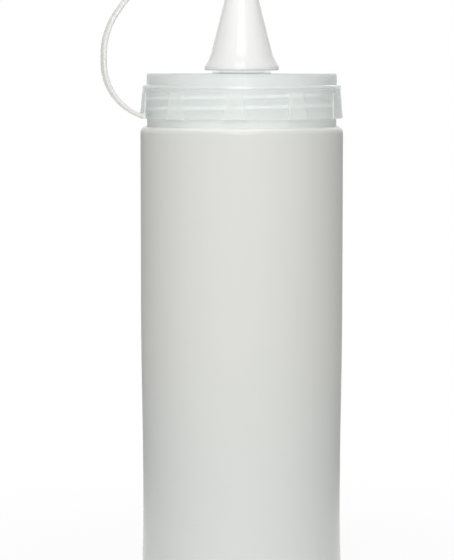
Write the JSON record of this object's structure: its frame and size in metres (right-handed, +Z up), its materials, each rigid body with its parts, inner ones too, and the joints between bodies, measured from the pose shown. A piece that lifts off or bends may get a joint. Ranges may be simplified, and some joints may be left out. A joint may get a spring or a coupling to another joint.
{
  "type": "squeeze bottle",
  "caption": "Tall round translucent squeeze bottle with a stepped screw lid, a hollow cone nozzle and a flat strap that holds the tip cap over the nozzle.",
  "frame": {"origin": "middle of the circle that the bottle stands on", "axes": "+Z up along the bottle's axis to the nozzle, -Y the front, the strap on the -X side"},
  "size_m": [0.0868, 0.0738, 0.2269],
  "materials": {
    "bottle_wall": "soft frosted translucent polyethylene, light warm grey where empty",
    "lid_plastic": "smooth translucent polypropylene with a faint blue-green tint",
    "nozzle_plastic": "smooth translucent natural polyethylene, nearly white",
    "strap_plastic": "smooth translucent natural polyethylene"
  },
  "bodies": {
    "root": {"bottle": "bottle_wall", "lid": "lid_plastic", "nozzle": "nozzle_plastic", "tether": "strap_plastic"}
  },
  "joints": []
}
